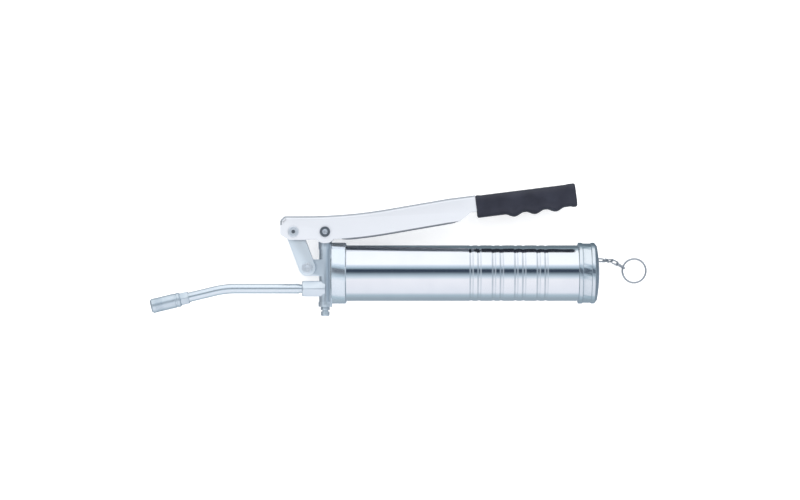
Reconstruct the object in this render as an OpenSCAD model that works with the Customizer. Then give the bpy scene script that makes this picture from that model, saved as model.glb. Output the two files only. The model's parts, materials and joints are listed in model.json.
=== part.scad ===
// Lever grease gun with a pull chain, lying on its side.
// X runs along the barrel towards the rear cap, Y towards the lever, Z up from the surface it lies on.
// The origin is on the barrel's axis, at the middle of its plain length.

/* [Barrel] */
// Outside diameter of the barrel tube
barrel_d = 57; // [55:0.5:59]
// Wall of the barrel tube
barrel_wall = 1.2; // [1:0.1:1.5]
// Front end of the barrel tube
barrel_front = -72; // [-74:1:-70]
// Rear end of the barrel tube
barrel_rear = 190; // [188:1:192]
// Depth of the rolled grip grooves
groove_depth = 0.4; // [0.2:0.1:0.6]
// Distance between the pairs of grip grooves
groove_pitch = 22.8; // [21:0.2:24]

/* [Pump head] */
// Outside diameter of the collar that screws on the barrel
collar_d = 62.6; // [62:0.2:64]
// Length of the collar along the barrel
collar_len = 15.9; // [14:0.1:18]
// Outside diameter of the pump cylinder
cylinder_d = 12.4; // [12:0.2:13]
// Distance of the pump cylinder's axis in front of the origin
cylinder_x = 85; // [84.5:0.1:85.5]
// Height of the delivery neck's axis, below the barrel's axis
neck_drop = 16; // [15:0.5:17]
// Width across the flats of the delivery neck
neck_flats = 15.6; // [14:0.2:17]

/* [Linkage] */
// Distance between the two pins of the link
link_len = 39.6; // [39.5:0.1:39.7]
// Diameter of the three pins
pin_d = 6; // [5.8:0.1:6.2]
// Width of the link
link_w = 17; // [15:0.2:17]
// Radial clearance of a pin in the link and of the plunger in its bore
running_gap = 0.04; // [0.02:0.01:0.08]

/* [Lever] */
// Outside width of the lever's channel
lever_w = 23; // [22.6:0.2:25]
// Height of the lever's side plates
lever_h = 24.4; // [24:0.2:25]
// Thickness of the lever's sheet
lever_sheet = 2.4; // [2:0.1:2.6]

/* [Grip] */
// Length of the grip
grip_len = 103; // [98:1:106]
// Height of the grip
grip_h = 23.4; // [23:0.2:25]
// Width of the grip
grip_w = 27; // [26:0.5:30]

/* [Delivery tube and coupler] */
// Outside diameter of the delivery tube
tube_d = 10; // [9.6:0.1:10.2]
// Angle by which the tube bends down to the coupler
tube_bend = 13.5; // [10:0.5:15]
// Outside diameter of the coupler's sleeve
sleeve_d = 14.8; // [14.4:0.1:16]
// Diameter of the coupler's mouth, which is pushed over a grease nipple
mouth_d = 6.9; // [6.8:0.1:7]

/* [Follower, chain and ring] */
// Number of chain links inside the barrel, which sets how far forward the follower stands
inner_links = 28; // [26:1:28]
// Thickness of the chain's wire
chain_wire = 1.4; // [1.3:0.05:1.45]
// Mean diameter of the pull ring
ring_d = 24.6; // [23:0.2:26]
// Thickness of the pull ring's wire
ring_wire = 1.8; // [1.6:0.1:2]

/* [Hidden] */
$fn = 72;
small_fn = 40;
eps = 0.01;
joint_gap = 0.05;       // radial gap of the screwed joints
fine_gap = 0.25;        // gap between flat faces that slide past each other

// Barrel
barrel_r = barrel_d / 2;
bore_r = barrel_r - barrel_wall;
groove_first = 68.8;    // middle of the first pair of grooves
groove_pairs = 4;
groove_split = 8;       // distance between the two grooves of a pair
groove_r = 6;           // radius of a groove's round section

// Pump head
collar_r = collar_d / 2;
collar_rear = -63.2;
collar_front = collar_rear - collar_len;
gasket_t = 1;
socket_floor = barrel_front - gasket_t;
edge = 1.2;             // chamfer on the collar
cyl_x = -cylinder_x;
cyl_r = cylinder_d / 2;
cyl_top = 34.6;
cyl_bottom = -34.5;
plunger_r = 4;
plunger_bottom = -13;
pump_bore_bottom = -20.5;
gland_r = 5.2;
gland_h = 2;
gland_y = 30.5;
inlet_y = 9;
inlet_r = 2.5;
neck_y = -neck_drop;
neck_front = -108.6;
thread_r = 4.3;         // the tube's reduced, threaded ends
tube_seat = -101;       // how far the tube screws into the neck
check_r = 3.8;
check_seat = -92.5;
port_r = 2;
ball_r = 2.75;
stem_r = 3;             // stem of the filler nipple
stem_len = 6;
fill_y = -25.4;
fill_r = 1.6;

// Linkage: the pin in the head's lug, and the lever's two pins
lug_pin = [-103.3, 5.5];
lever_pin_y = 42.5;
plunger_pin_at = [cyl_x, lever_pin_y];
lever_pin_at = [lug_pin[0] - sqrt(link_len * link_len - pow(lever_pin_y - lug_pin[1], 2)), lever_pin_y];
link_lean = atan2(lug_pin[0] - lever_pin_at[0], lever_pin_y - lug_pin[1]);
pin_r = pin_d / 2;
lug_half = 6;
lug_r = 8.6;
link_sheet = 2.4;
link_web_at = 12;       // web's start above the lug pin, and its length
link_web_len = 18;
link_in = lug_half + fine_gap;
link_out = link_in + link_sheet;
lever_out = lever_w / 2;
lever_in = lever_out - lever_sheet;
head_r = 5.4;           // pin heads
head_t = 1.8;
clip_t = 1;
clip_r = 4.7;
pin_tail = 2.2;

// Plunger eye: its round hole leaves room for the pin, which drifts as the lever swings
eye_shift = [1.35, 0.65];
eye_hole_r = 5;
eye_r = 8;
eye_half = 4;

// Lever
lever_front = -131;
lever_base = 58.4;      // height of the lever's straight front end
ramp_start = -105;      // the top edge starts to rise here
ramp_end = -20;         // and has its full slope here
ramp_slope = 0.172;
knee_x = 42;            // from here it rises as the grip does
grip_x = 68.6;
grip_slope = 0.125;
nose_drop = 9;
nose_cut = 4.4;
skirt_r = 11.9;         // ear round the plunger pin
tail_drop = 2.6;        // the tail steps in to enter the grip
tail_h = 14;
tail_w = 19;
tail_len = 88;
heel_x = 54;            // the side plates' lower edge turns up here
heel_run = 11;
grip_angle = atan(grip_slope);

// Grip, in its own frame: along the grip from its front end, and down from its top edge
recess_pitch = 21.3;
recess_first = 27.5;
recess_r = 17;
recess_depth = 3.4;
recesses = 4;
grip_lip = 1;           // low lip round the palm side's rear end
grip_lip_len = 5.5;
grip_round = 4;

// Delivery tube: straight to the elbow, then sloping down
elbow_x = -188;
bend_r = 90;
bend_run = bend_r * tan(tube_bend / 2);
elbow_lap = 0.3;        // the straight runs reach this far into the elbow
elbow_step = 0.03;      // and it is this much slimmer
tube_bore_r = 2.5;
coupler_tip = 78;       // from the elbow to the coupler's mouth
coupler_len = 40;
sleeve_len = 31;
sleeve_r = sleeve_d / 2;
sleeve_bore_r = 6.4;
mouth_r = mouth_d / 2;
mouth_hex = 12.4;
jaw_slit = 0.6;

// Rear cap
cap_front = 174.3;
cap_edge = 193.6;       // where the domed end starts
cap_r = 30.5;
cap_rim_r = collar_r;
dome_rise = 2.6;
dome_face_r = 28;
dome_r = (dome_face_r * dome_face_r + dome_rise * dome_rise) / (2 * dome_rise);
cap_wall = 1.8;
slot_y = 13.4;
slot_r = 3.6;

// Follower
follower_r = bore_r - 0.08;
plate_r = 24.5;
plate_t = 1.6;
cup_t = 3;
cup_len = 11;
cup_lip = 2;
stud_r = 2.5;
spring_wire = 2.4;
spring_r = 21.5;
spring_turns = 13;
spring_rear = 191.9;

// Chain: taut inside the barrel, hanging a little slack outside it
taut_pitch = 8;
slack_pitch = 7.7;
wire_r = chain_wire / 2;
link_reach = taut_pitch + 1.56; // centre line of a chain link, end to end
link_bow = 2;           // radius of its round ends
slot_end = [194.6, slot_y, 0];
inner_turn = asin(slot_y / (inner_links * taut_pitch));
chain_start = slot_end[0] - inner_links * taut_pitch * cos(inner_turn);
// Turn, dip and roll of each link from the slot to the ring
drape = [
    [-3, -29, 135], [-4.6, -65.5, 52], [-1.3, -79.1, 137],
    [-4.4, -49.6, 59], [-25.3, -28.6, 150], [-33.2, -4.7, 73]];
floor_z = -collar_r;
ring_r = ring_d / 2;
ring_wire_r = ring_wire / 2;
ring_at = [234.4, 2.2];
ring_turn = 163.93;     // direction of the chain, seen from the ring's middle
ring_tilt = 5;          // the chain holds that side of the ring up

// Eye of the follower, hooked into the chain's first link
eye_mean_r = 3;
eye_wire_r = 0.9;
eye_x = chain_start - (link_reach - taut_pitch) / 2 + wire_r + eye_wire_r + joint_gap - eye_mean_r;
back_face = eye_x - 5;
follower_x = back_face - plate_t - cup_t - plate_t;

// ---- helpers ----

// Round bar along X
module bar_x(x0, x1, r) {
    translate([x0, 0, 0]) rotate([0, 90, 0]) cylinder(h = x1 - x0, r = r);
}

// Round bar along Y, from y0 up to y1
module bar_y(y0, y1, r) {
    translate([0, y1, 0]) rotate([90, 0, 0]) cylinder(h = y1 - y0, r = r);
}

// Cone along X
module cone_x(x0, x1, r0, r1) {
    translate([x0, 0, 0]) rotate([0, 90, 0]) cylinder(h = x1 - x0, r1 = r0, r2 = r1);
}

// Collar with chamfered edges, along X
module collar(x0, x1, r, chamfer) {
    bar_x(x0 + chamfer, x1 - chamfer, r);
    cone_x(x0, x0 + chamfer, r - chamfer, r);
    cone_x(x1 - chamfer, x1, r, r - chamfer);
}

// Disc about Z, centred on the plane Z = 0
module disc_z(at, r, half) {
    translate([at[0], at[1], -half]) cylinder(h = 2 * half, r = r);
}

// Turn a shape whose axis is Z to lie along X
module lay_x() {
    rotate([0, 90, 0]) children();
}

// Place a shape made along +X at the coupler, with its origin at the mouth
module at_coupler() {
    translate([elbow_x, neck_y, 0])
        rotate([0, 0, tube_bend])
            translate([-coupler_tip, 0, 0])
                children();
}

// Top edge of the lever
function lever_top(x) =
    x < ramp_start ? lever_base :
    x < ramp_end ? lever_base + ramp_slope * pow(x - ramp_start, 2) / (2 * (ramp_end - ramp_start)) :
    x < knee_x ? lever_top(ramp_end - eps) + ramp_slope * (x - ramp_end) :
    lever_top(knee_x - eps) + grip_slope * (x - knee_x);

grip_top = lever_top(grip_x);

// Place a shape made along the grip, with X along it and Y down to its palm side
module at_grip() {
    translate([grip_x, grip_top, 0]) rotate([0, 0, grip_angle]) children();
}

function helix_point(r, rise, turns, a) = [r * cos(a), r * sin(a), rise * a / (360 * turns)];

// Coil spring about Z from z = 0 to z = length, outside to outside of the wire
module coil(r, wire, turns, length, steps = 18, sides = 6) {
    rise = length - wire;
    n = ceil(turns * steps);
    lead = atan2(rise, 2 * PI * r * turns);
    points = [for (i = [0 : n]) let (a = 360 * turns * i / n, c = helix_point(r, rise, turns, a))
        for (k = [0 : sides - 1]) let (b = 360 * k / sides, u = wire / 2 * cos(b), v = wire / 2 * sin(b))
            [c[0] + u * cos(a) + v * sin(lead) * sin(a),
             c[1] + u * sin(a) - v * sin(lead) * cos(a),
             c[2] + v * cos(lead) + wire / 2]];
    rings = [for (i = [0 : n - 1]) for (k = [0 : sides - 1]) let (m = (k + 1) % sides)
        [i * sides + k, i * sides + m, (i + 1) * sides + m, (i + 1) * sides + k]];
    first = [for (k = [0 : sides - 1]) sides - 1 - k];
    last = [for (k = [0 : sides - 1]) n * sides + k];
    polyhedron(points = points, faces = concat(rings, [first, last]), convexity = 8);
}

// Torus about Z
module ring_z(r, wire_r) {
    rotate_extrude() translate([r, 0]) circle(r = wire_r, $fn = small_fn);
}

// Half of a ring about Z, on the +X side
module half_ring(r, wire_r) {
    rotate([0, 0, -90])
        rotate_extrude(angle = 180)
            translate([r, 0]) circle(r = wire_r, $fn = small_fn);
}

// One chain link, lying in the XY plane and centred on the origin
module chain_link() {
    half = link_reach / 2 - link_bow;
    for (end = [0, 180])
        rotate([0, 0, end]) {
            translate([half, 0, 0]) half_ring(link_bow, wire_r);
            translate([0, link_bow, 0]) rotate([0, 90, 0])
                translate([0, 0, -half]) cylinder(h = 2 * half, r = wire_r, $fn = small_fn);
        }
}

// A link from a point along a turn about Z and a dip, rolled about its own length
module laid_link(at, pitch, turn, dip, roll) {
    translate(at) rotate([0, -dip, turn])
        translate([pitch / 2, 0, 0]) rotate([roll, 0, 0]) chain_link();
}

function step(pitch, turn, dip) = pitch * [cos(dip) * cos(turn), cos(dip) * sin(turn), sin(dip)];
function drape_point(i) =
    i == 0 ? slot_end : drape_point(i - 1) + step(slack_pitch, drape[i - 1][0], drape[i - 1][1]);

// ---- fixed parts ----

// Cast head: collar for the barrel, pump cylinder, lug for the link, delivery neck
module pump_head() {
    color("lightgray") difference() {
        union() {
            collar(collar_front, collar_rear, collar_r, edge);
            translate([cyl_x, 0, 0]) bar_y(cyl_bottom, cyl_top, cyl_r);
            translate([cyl_x, 0, 0]) bar_y(24.6, cyl_top - 1.2, cyl_r + 0.7);
            translate([cyl_x, 0, 0]) bar_y(cyl_bottom, -29.5, cyl_r + 0.7);
            translate([cyl_x, cyl_bottom, -4.6]) cube([collar_front + 1 - cyl_x, 64, 9.2]);
            lug();
            neck();
        }
        bar_x(socket_floor, collar_rear + 1, barrel_r + joint_gap);
        pump_ports();
    }
}

// Lug that carries the link's lower pin
module lug() {
    disc_z(lug_pin, lug_r, lug_half);
    translate([lug_pin[0], lug_pin[1] - lug_r, -lug_half])
        cube([cyl_x - lug_pin[0], 2 * lug_r, 2 * lug_half]);
}

// Six-sided neck that the tube screws into
module neck() {
    across = neck_flats / cos(30);
    translate([0, neck_y, 0]) intersection() {
        translate([neck_front, 0, 0]) lay_x() cylinder(h = cyl_x - neck_front, d = across, $fn = 6);
        union() {
            cone_x(neck_front, neck_front + 1.4, neck_flats / 2 - 0.4, neck_flats / 2 + 1);
            bar_x(neck_front + 1.4, cyl_x, neck_flats / 2 + 1);
        }
    }
}

module pump_ports() {
    translate([cyl_x, 0, 0]) {
        bar_y(pump_bore_bottom, cyl_top + 1, plunger_r + running_gap);
        bar_y(gland_y, gland_y + gland_h, gland_r);
        bar_y(cyl_bottom - 1, cyl_bottom + stem_len, stem_r);
        bar_y(cyl_bottom, fill_y, fill_r);
    }
    translate([0, neck_y, 0]) {
        bar_x(check_seat - 1, cyl_x, port_r);
        bar_x(tube_seat - eps, check_seat, check_r);
        bar_x(neck_front - 1, tube_seat, thread_r);
    }
    translate([0, inlet_y, 0]) bar_x(cyl_x, socket_floor + 1, inlet_r);
    translate([0, fill_y, 0]) bar_x(cyl_x, socket_floor + 1, fill_r);
    disc_z(lug_pin, pin_r, lug_half + 1);
}

// Tube with four pairs of shallow rolled grooves
module barrel() {
    color("gainsboro") difference() {
        bar_x(barrel_front, barrel_rear, barrel_r);
        bar_x(barrel_front - 1, barrel_rear + 1, bore_r);
        for (i = [0 : groove_pairs - 1], side = [-1, 1])
            translate([groove_first + i * groove_pitch + side * groove_split / 2, 0, 0])
                lay_x() rotate_extrude()
                    translate([barrel_r - groove_depth + groove_r, 0]) circle(r = groove_r);
    }
}

module head_gasket() {
    color("dimgray") difference() {
        bar_x(socket_floor, barrel_front, barrel_r);
        bar_x(socket_floor - 1, barrel_front + 1, bore_r);
    }
}

// Screwed cap with two rims, a domed end and a slot for the chain
module rear_cap() {
    color("silver") difference() {
        union() {
            bar_x(cap_front + 2, cap_edge - 2.1, cap_r);
            collar(cap_front, cap_front + 4.6, cap_rim_r, 0.6);
            collar(cap_edge - 6.4, cap_edge - 2.1, cap_rim_r, 0.6);
            cone_x(cap_edge - 2.1, cap_edge, cap_rim_r - 0.6, dome_face_r);
            intersection() {
                bar_x(cap_edge - 2, cap_edge + 5, dome_face_r);
                translate([cap_edge + dome_rise - dome_r, 0, 0]) sphere(r = dome_r, $fn = 160);
            }
        }
        bar_x(cap_front - 1, barrel_rear, barrel_r + joint_gap);
        intersection() {
            bar_x(barrel_rear - 1, cap_edge + 5, bore_r - 0.8);
            translate([cap_edge + dome_rise - dome_r, 0, 0]) sphere(r = dome_r - cap_wall, $fn = 160);
        }
        bar_x(barrel_rear, cap_edge + 5, slot_r + 1);
        translate([barrel_rear, 0, -slot_r]) cube([10, slot_y, 2 * slot_r]);
        translate([0, slot_y, 0]) bar_x(barrel_rear, cap_edge + 5, slot_r);
    }
}

module plunger_seal() {
    color("dimgray") translate([cyl_x, 0, 0]) difference() {
        bar_y(gland_y, gland_y + gland_h, gland_r);
        bar_y(gland_y - 1, gland_y + gland_h + 1, plunger_r + running_gap / 2);
    }
}

// Check valve in the delivery neck
module outlet_ball() {
    color("silver") translate([check_seat - ball_r - eps, neck_y, 0]) sphere(r = ball_r);
}

module outlet_spring() {
    color("gray") translate([tube_seat + 0.1, neck_y, 0])
        lay_x() coil(2.9, 0.6, 3, check_seat - ball_r - eps - 1.3 - tube_seat, steps = 12);
}

// Steel tube with a reduced thread at each end
module delivery_tube() {
    color("silver") difference() {
        union() {
            translate([0, neck_y, 0]) {
                bar_x(-112.6, tube_seat, thread_r);
                bar_x(elbow_x + bend_run - elbow_lap, -111.6, tube_d / 2);
            }
            tube_elbow(tube_d / 2 - elbow_step);
            at_coupler() {
                bar_x(coupler_len, coupler_tip - bend_run + elbow_lap, tube_d / 2);
                bar_x(coupler_len - 8, coupler_len + 1, thread_r);
            }
        }
        translate([0, neck_y, 0]) bar_x(elbow_x + bend_run - elbow_lap, tube_seat + 1, tube_bore_r);
        tube_elbow(tube_bore_r - elbow_step);
        at_coupler() bar_x(coupler_len - 9, coupler_tip - bend_run + elbow_lap, tube_bore_r);
    }
}

module tube_elbow(r) {
    translate([elbow_x + bend_run, neck_y - bend_r, 0]) rotate([0, 0, 90])
        rotate_extrude(angle = tube_bend, $fn = 240)
            translate([bend_r, 0]) circle(r = r, $fn = 64);
}

// Body of the coupler: a six-sided rear end and a stem inside the sleeve
module coupler_body() {
    color("darkgray") at_coupler() difference() {
        union() {
            bar_x(17, sleeve_len, sleeve_bore_r - joint_gap);
            translate([sleeve_len, 0, 0]) intersection() {
                lay_x() cylinder(h = coupler_len - sleeve_len, d = mouth_hex / cos(30), $fn = 6);
                collar(0, coupler_len - sleeve_len, mouth_hex / 2 + 0.7, 0.9);
            }
        }
        bar_x(16, 27, 4.4);
        bar_x(26, coupler_len, tube_bore_r);
        bar_x(coupler_len - 8, coupler_len + 1, thread_r);
    }
}

// Sleeve that holds the jaws closed
module coupler_sleeve() {
    color("silver") at_coupler() difference() {
        union() {
            cone_x(0, 1.6, sleeve_r - 1.5, sleeve_r);
            bar_x(1.6, sleeve_len - 1, sleeve_r);
            cone_x(sleeve_len - 1, sleeve_len, sleeve_r, sleeve_r - 0.8);
        }
        bar_x(-1, 1.5, 5);
        cone_x(1.5, 6, 5, sleeve_bore_r);
        bar_x(6, sleeve_len + 1, sleeve_bore_r);
    }
}

// Four jaws, split by two crossed slits
module coupler_jaws() {
    color("gray") at_coupler() difference() {
        union() {
            bar_x(0.5, 1.5, 4.9);
            cone_x(1.5, 6, 4.9, sleeve_bore_r - 0.1);
            bar_x(6, 10, sleeve_bore_r - 0.1);
        }
        bar_x(0, 11, mouth_r);
        translate([0, -10, -jaw_slit / 2]) cube([11, 20, jaw_slit]);
        translate([0, -jaw_slit / 2, -10]) cube([11, jaw_slit, 20]);
    }
}

module coupler_seal() {
    color("dimgray") at_coupler() difference() {
        bar_x(10, 13, sleeve_bore_r - 0.4);
        bar_x(9, 14, 1.5);
    }
}

// Piston that the spring holds against the seal
module coupler_piston() {
    color("silver") at_coupler() difference() {
        union() {
            bar_x(13, 15, sleeve_bore_r - 0.3);
            bar_x(15, 19, 3);
        }
        bar_x(12, 20, 1.2);
    }
}

module coupler_spring() {
    color("gray") at_coupler() translate([15.05, 0, 0]) lay_x() coil(3.7, 0.7, 5, 11.9, steps = 12);
}

// Nipple for refilling the barrel from a pump
module filler_nipple() {
    color("silver") translate([cyl_x, 0, 0]) difference() {
        union() {
            bar_y(cyl_bottom - eps, cyl_bottom + stem_len, stem_r);
            translate([0, cyl_bottom - 3.4, 0]) rotate([-90, 0, 0]) cylinder(h = 3.4, d = 9.4, $fn = 6);
            bar_y(-39.4, cyl_bottom - 3, 3);
            bar_y(-43.3, -39.4, 4.4);
            translate([0, -43.3, 0]) rotate([90, 0, 0]) cylinder(h = 0.8, r1 = 4.4, r2 = 3.6);
        }
        bar_y(-45, cyl_bottom + stem_len + 1, 0.9);
        bar_y(-41.6, cyl_bottom + stem_len - 1, 1.7);
    }
}

module filler_ball() {
    color("silver") translate([cyl_x, -40, 0]) sphere(r = 1.55, $fn = small_fn);
}

module filler_spring() {
    color("gray") translate([cyl_x, -38.3, 0]) rotate([-90, 0, 0]) coil(1.25, 0.5, 4, 8.6);
}

// Headed pin about Z from the head's face down past the clip
module headed_pin(at, reach) {
    translate([at[0], at[1], 0]) difference() {
        union() {
            translate([0, 0, -reach - pin_tail]) cylinder(h = 2 * reach + pin_tail, r = pin_r);
            translate([0, 0, reach]) cylinder(h = head_t - 0.5, r = head_r);
            translate([0, 0, reach + head_t - 0.5]) cylinder(h = 0.5, r1 = head_r, r2 = head_r - 0.5);
        }
        translate([0, 0, reach + head_t - 0.7]) cylinder(h = 1, r = 2.1);
        translate([0, 0, -reach - clip_t]) difference() {
            cylinder(h = clip_t, r = pin_r + 1);
            translate([0, 0, -1]) cylinder(h = clip_t + 2, r = pin_r - 0.6);
        }
    }
}

// Snap ring in a pin's groove, with a gap
module snap_ring(at, reach) {
    translate([at[0], at[1], -reach - clip_t]) difference() {
        cylinder(h = clip_t, r = clip_r);
        translate([0, 0, -1]) cylinder(h = clip_t + 2, r = pin_r - 0.6);
        translate([0, -1.6, -1]) cube([clip_r + 1, 3.2, clip_t + 2]);
    }
}

module link_pin() {
    color("silver") headed_pin(lug_pin, link_out + joint_gap);
}

module link_pin_clip() {
    color("gray") snap_ring(lug_pin, link_out + joint_gap);
}

module follower_spring() {
    color("gray") translate([back_face + 0.05, 0, 0])
        lay_x() coil(spring_r, spring_wire, spring_turns, spring_rear - back_face, steps = 24, sides = 8);
}

// ---- moving parts of the pump ----

// Plunger with a flat eye round the lever's pin
module plunger() {
    at = plunger_pin_at + eye_shift;
    color("silver") difference() {
        union() {
            translate([cyl_x, 0, 0]) bar_y(plunger_bottom, plunger_pin_at[1] - eye_hole_r, plunger_r);
            disc_z(at, eye_r, eye_half);
        }
        disc_z(at, eye_hole_r, eye_half + 1);
    }
}

// Pressed link: two plates joined by a web on the front edge
module link() {
    half = link_w / 2;
    color("gainsboro") translate([lug_pin[0], lug_pin[1], 0]) rotate([0, 0, link_lean]) difference() {
        union() {
            for (side = [-1, 1])
                translate([0, 0, side * (link_in + link_out) / 2]) {
                    disc_z([0, 0], half, link_sheet / 2);
                    disc_z([0, link_len], half, link_sheet / 2);
                    translate([-half, 0, -link_sheet / 2]) cube([link_w, link_len, link_sheet]);
                }
            translate([-half, link_web_at, -link_out]) cube([link_sheet, link_web_len, 2 * link_out]);
        }
        disc_z([0, 0], pin_r + running_gap, link_out + 1);
        disc_z([0, link_len], pin_r + running_gap, link_out + 1);
    }
}

// Side view of the lever's plates
module lever_outline() {
    xs = [for (i = [0 : 17]) ramp_start + i * (ramp_end - ramp_start) / 17];
    heel_y = lever_top(heel_x) - lever_h;
    tail_y = lever_top(heel_x + heel_run) - tail_drop - tail_h;
    polygon(concat(
        [[lever_front, lever_base - nose_cut], [lever_front + nose_cut, lever_base]],
        [for (x = xs) [x, lever_top(x)]],
        [[knee_x, lever_top(knee_x)], [grip_x - 2, lever_top(grip_x - 2)]],
        [[grip_x - 2, tail_y], [heel_x + heel_run, tail_y], [heel_x, heel_y]],
        [[knee_x, lever_top(knee_x) - lever_h]],
        [for (i = [17 : -1 : 0]) if (xs[i] > -72) [xs[i], lever_top(xs[i]) - lever_h]],
        [[-76, lever_top(-76) - lever_h], [lever_front + 9, lever_base - lever_h],
         [lever_front, lever_base - lever_h + 5.5]]));
}

// Pressed channel, open towards the barrel, with a narrower tail inside the grip
module lever() {
    color("gainsboro") difference() {
        union() {
            difference() {
                translate([0, 0, -lever_out]) linear_extrude(2 * lever_out) {
                    lever_outline();
                    translate(plunger_pin_at) circle(r = skirt_r);
                }
                translate([0, 0, -lever_in]) linear_extrude(2 * lever_in) lever_hollow();
            }
            at_grip() lever_tail();
        }
        disc_z(plunger_pin_at, pin_r, lever_out + 1);
        disc_z(lever_pin_at, pin_r, lever_out + 1);
    }
}

// Side view of the channel's inside, which is open below and under the nose
module lever_hollow() {
    xs = concat([for (i = [0 : 17]) ramp_start + i * (ramp_end - ramp_start) / 17], [knee_x, grip_x]);
    low = lever_base - lever_h - 20;
    polygon(concat(
        [[lever_front - 1, low], [lever_front - 1, lever_base - nose_drop]],
        [[lever_front + lever_sheet, lever_base - nose_drop]],
        [[lever_front + lever_sheet, lever_base - nose_cut - 1]],
        [[lever_front + nose_cut + 1, lever_base - lever_sheet]],
        [for (x = xs) [x, lever_top(x) - lever_sheet]],
        [[grip_x, low]]));
}

// Tail of the channel, in the grip's frame, closed on top and open below
module lever_tail() {
    translate([-3, -tail_drop - tail_h, 0]) difference() {
        translate([0, 0, -tail_w / 2]) cube([tail_len, tail_h, tail_w]);
        translate([3, -1, -tail_w / 2 + lever_sheet])
            cube([tail_len, tail_h + 1 - lever_sheet, tail_w - 2 * lever_sheet]);
    }
    translate([-3, -tail_drop - tail_h, 0.4 - lever_out]) cube([lever_sheet, tail_h + 1.8, 2 * lever_out - 0.8]);
}

// Side view of the grip, with finger recesses along its palm side
module grip_outline() {
    difference() {
        union() {
            translate([0, -grip_h]) square([grip_len, grip_h]);
            translate([recess_first, -grip_h - recess_depth])
                square([(recesses - 1) * recess_pitch, recess_depth + 1]);
            translate([grip_len - grip_lip_len, -grip_h - grip_lip]) square([grip_lip_len, grip_lip + 1]);
        }
        for (i = [0 : recesses - 1])
            translate([recess_first + i * recess_pitch, -grip_h - recess_r]) circle(r = recess_r);
    }
}

// Soft sleeve pushed on the lever's tail
module grip() {
    color("darkslategray") at_grip() difference() {
        intersection() {
            translate([0, 0, -grip_w / 2]) linear_extrude(grip_w) grip_outline();
            translate([-1, -grip_h - recess_depth, 0]) rotate([0, 90, 0])
                linear_extrude(grip_len + 2) grip_section();
        }
        translate([-4, -tail_drop - tail_h, -tail_w / 2]) cube([tail_len + 1.5, tail_h, tail_w]);
    }
}

// Rounded rectangle of the grip's cross-section
module grip_section() {
    r = grip_round;
    wide = grip_w / 2;
    tall = grip_h + recess_depth;
    translate([-wide + r, 0]) square([grip_w - 2 * r, tall]);
    translate([-wide, r]) square([grip_w, tall - 2 * r]);
    for (x = [-wide + r, wide - r], y = [r, tall - r])
        translate([x, y]) circle(r = r);
}

module plunger_pin() {
    color("silver") headed_pin(plunger_pin_at, lever_out);
}

module lever_pin() {
    color("silver") headed_pin(lever_pin_at, lever_out);
}

module lever_pin_clips() {
    color("gray") {
        snap_ring(plunger_pin_at, lever_out);
        snap_ring(lever_pin_at, lever_out);
    }
}

// ---- follower, chain and ring ----

// Rubber cup with a lip at its rear
module follower_cup() {
    x0 = follower_x + plate_t;
    color("dimgray") difference() {
        bar_x(x0, x0 + cup_len, follower_r);
        bar_x(x0 + cup_t, x0 + cup_len + 1, follower_r - cup_lip);
        bar_x(x0 - 1, x0 + cup_t + 1, stud_r);
    }
}

module plate_at(x) {
    difference() {
        collar(x, x + plate_t, plate_r, 0.4);
        bar_x(x - 1, x + plate_t + 1, stud_r);
    }
}

module front_plate() {
    color("silver") plate_at(follower_x);
}

module back_plate() {
    color("silver") plate_at(follower_x + plate_t + cup_t);
}

// Eye bolt through the follower, which the chain hooks into
module chain_eye() {
    color("gray") {
        bar_x(follower_x - 5, back_face, stud_r);
        bar_x(back_face, back_face + 1.6, 4);
        translate([eye_x, 0, 0])
            rotate([45 + 90 * (inner_links % 2), 0, 0]) ring_z(eye_mean_r, eye_wire_r);
    }
}

module eye_nut() {
    color("gray") difference() {
        translate([follower_x - 4, 0, 0]) lay_x() cylinder(h = 4, d = 8 / cos(30), $fn = 6);
        bar_x(follower_x - 5, follower_x + 1, stud_r);
    }
}

// Chain inside the barrel, from the follower's eye to the slot in the cap
module inner_chain() {
    color("silver")
        for (i = [0 : inner_links - 1])
            laid_link(slot_end - (i + 1) * step(taut_pitch, inner_turn, 0),
                taut_pitch, inner_turn, 0, 45 + 90 * (i % 2));
}

// Chain outside the cap, down to the surface and along to the ring
module outer_chain() {
    color("silver")
        for (i = [0 : len(drape) - 1])
            laid_link(drape_point(i), slack_pitch, drape[i][0], drape[i][1], drape[i][2]);
}

// Ring through the chain's last link
module pull_ring() {
    color("silver") translate([ring_at[0], ring_at[1], floor_z + ring_wire_r + ring_r * sin(ring_tilt)])
        rotate([0, -ring_tilt, ring_turn]) ring_z(ring_r, ring_wire_r);
}

pump_head();
barrel();
head_gasket();
rear_cap();
plunger_seal();
outlet_ball();
outlet_spring();
delivery_tube();
coupler_body();
coupler_sleeve();
coupler_jaws();
coupler_seal();
coupler_piston();
coupler_spring();
filler_nipple();
filler_ball();
filler_spring();
link_pin();
link_pin_clip();
follower_spring();
plunger();
link();
lever();
grip();
plunger_pin();
lever_pin();
lever_pin_clips();
follower_cup();
front_plate();
back_plate();
chain_eye();
eye_nut();
inner_chain();
outer_chain();
pull_ring();
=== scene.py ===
"""Looks for a lever grease gun that lies on its side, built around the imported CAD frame."""
import json
import math

import bpy
import bmesh
from mathutils import Matrix, Vector


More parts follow.
